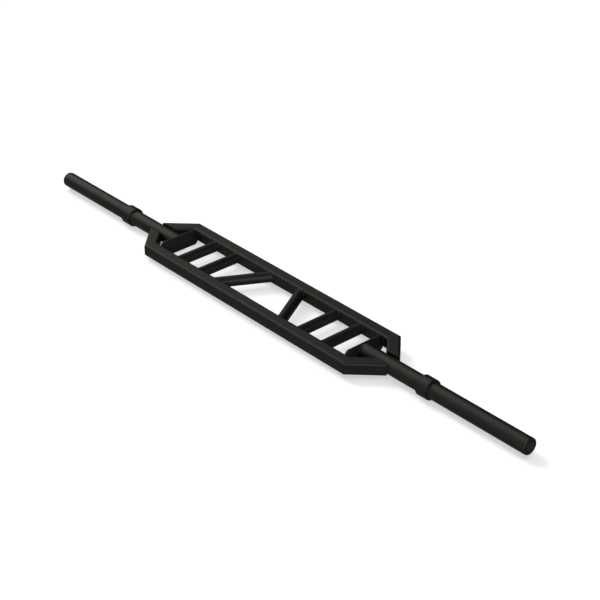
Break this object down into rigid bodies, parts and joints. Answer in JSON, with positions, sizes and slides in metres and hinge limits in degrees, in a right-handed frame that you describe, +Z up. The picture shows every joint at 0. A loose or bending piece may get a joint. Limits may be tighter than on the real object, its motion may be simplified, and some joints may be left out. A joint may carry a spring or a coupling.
{
  "type": "multi-grip barbell",
  "caption": "Welded ladder-frame barbell with straight and slanted neutral grips between its rails, and a round plate sleeve outside a stop collar at each end.",
  "frame": {"origin": "middle of the bar, on the common axis of both sleeves and halfway up the rails", "axes": "+X along the bar to its right sleeve, +Y from the front rail to the back rail, +Z up through the flat frame; the slanted grips lean together towards +Y"},
  "size_m": [2.148, 0.2236, 0.0624],
  "materials": {
    "frame_coat": "satin black powder coat",
    "grip_coat": "fine-textured black powder coat",
    "plug_plastic": "matte black"
  },
  "bodies": {
    "root": {"back_left_rail_end": "frame_coat", "back_rail": "frame_coat", "back_right_rail_end": "frame_coat", "collar_welds": "frame_coat", "end_plate_welds": "frame_coat", "front_left_rail_end": "frame_coat", "front_rail": "frame_coat", "front_right_rail_end": "frame_coat", "grip_welds": "frame_coat", "left_end_plate": "frame_coat", "left_end_plug": "plug_plastic", "left_inner_grip": "grip_coat", "left_neck_tube": "frame_coat", "left_outer_grip": "grip_coat", "left_slanted_grip": "grip_coat", "left_sleeve": "frame_coat", "left_stop_collar": "frame_coat", "neck_tube_welds": "frame_coat", "rail_end_welds": "frame_coat", "right_end_plate": "frame_coat", "right_end_plug": "plug_plastic", "right_inner_grip": "grip_coat", "right_neck_tube": "frame_coat", "right_outer_grip": "grip_coat", "right_slanted_grip": "grip_coat", "right_sleeve": "frame_coat", "right_stop_collar": "frame_coat"}
  },
  "joints": []
}
